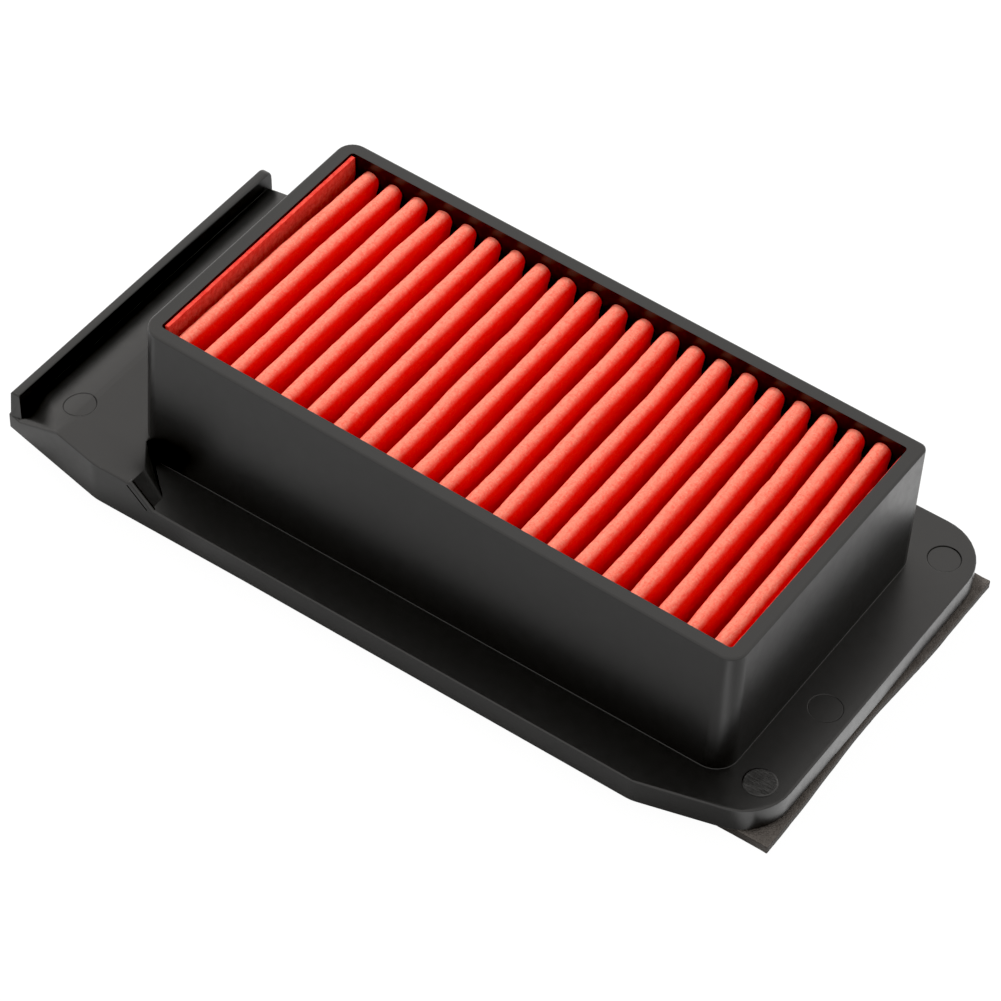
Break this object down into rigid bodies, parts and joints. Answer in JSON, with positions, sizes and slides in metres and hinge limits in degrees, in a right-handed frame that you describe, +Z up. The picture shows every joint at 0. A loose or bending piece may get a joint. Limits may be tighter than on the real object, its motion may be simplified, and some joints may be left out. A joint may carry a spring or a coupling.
{
  "type": "panel air filter",
  "caption": "Panel air filter for a motorcycle airbox: moulded plastic frame with wide flange and raised rectangular collar, pleated felt pack, foam gasket underneath.",
  "frame": {"origin": "centre of the whole part's footprint, on the underside of the foam gasket (the face that seals against the airbox)", "axes": "+X along the collar's long side towards the end with the large round corners, -X towards the upright lip; +Y across the filter towards the straight long edge; +Z up, out of the collar's open top"},
  "size_m": [0.2172, 0.1111, 0.0508],
  "materials": {
    "frame_plastic": "satin moulded, fine grain",
    "media_felt": "pressed nonwoven felt",
    "edge_glue": "satin cured adhesive",
    "gasket_tape": "thin translucent film, matt",
    "gasket_foam": "open-cell foam, matt and grainy"
  },
  "bodies": {
    "root": {"frame_moulding": "frame_plastic", "pleated_media": "media_felt", "edge_bond_front": "edge_glue", "edge_bond_back": "edge_glue", "end_bond_left": "edge_glue", "end_bond_right": "edge_glue", "gasket_tape": "gasket_tape", "foam_gasket": "gasket_foam"}
  },
  "joints": []
}
